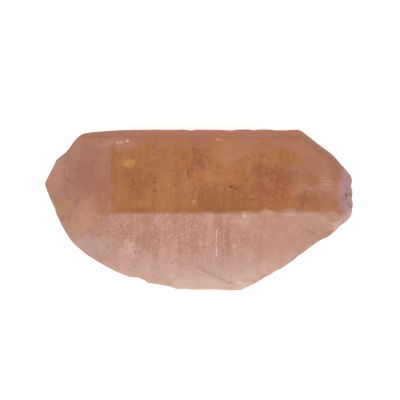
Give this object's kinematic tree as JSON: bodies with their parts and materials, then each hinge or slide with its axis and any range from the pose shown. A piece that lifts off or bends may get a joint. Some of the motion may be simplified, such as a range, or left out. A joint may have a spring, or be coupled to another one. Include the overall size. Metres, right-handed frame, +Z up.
{
  "type": "citrine crystal point",
  "caption": "Single raw citrine quartz crystal lying on a prism face, six-sided, with one faceted point and one broken end; a loose specimen for display.",
  "frame": {"origin": "on the surface that the crystal rests on, under the middle of its bounding box", "axes": "X runs along the crystal axis with the broken end toward +X and the faceted point toward -X; +Z is up, square to the prism face that it rests on; -Y is the frosted front side"},
  "size_m": [0.05, 0.0286, 0.024],
  "materials": {
    "citrine": "cloudy translucent amber-brown quartz, smooth on the upper prism face and frosted on the front"
  },
  "bodies": {
    "root": {"crystal": "citrine"}
  },
  "joints": []
}
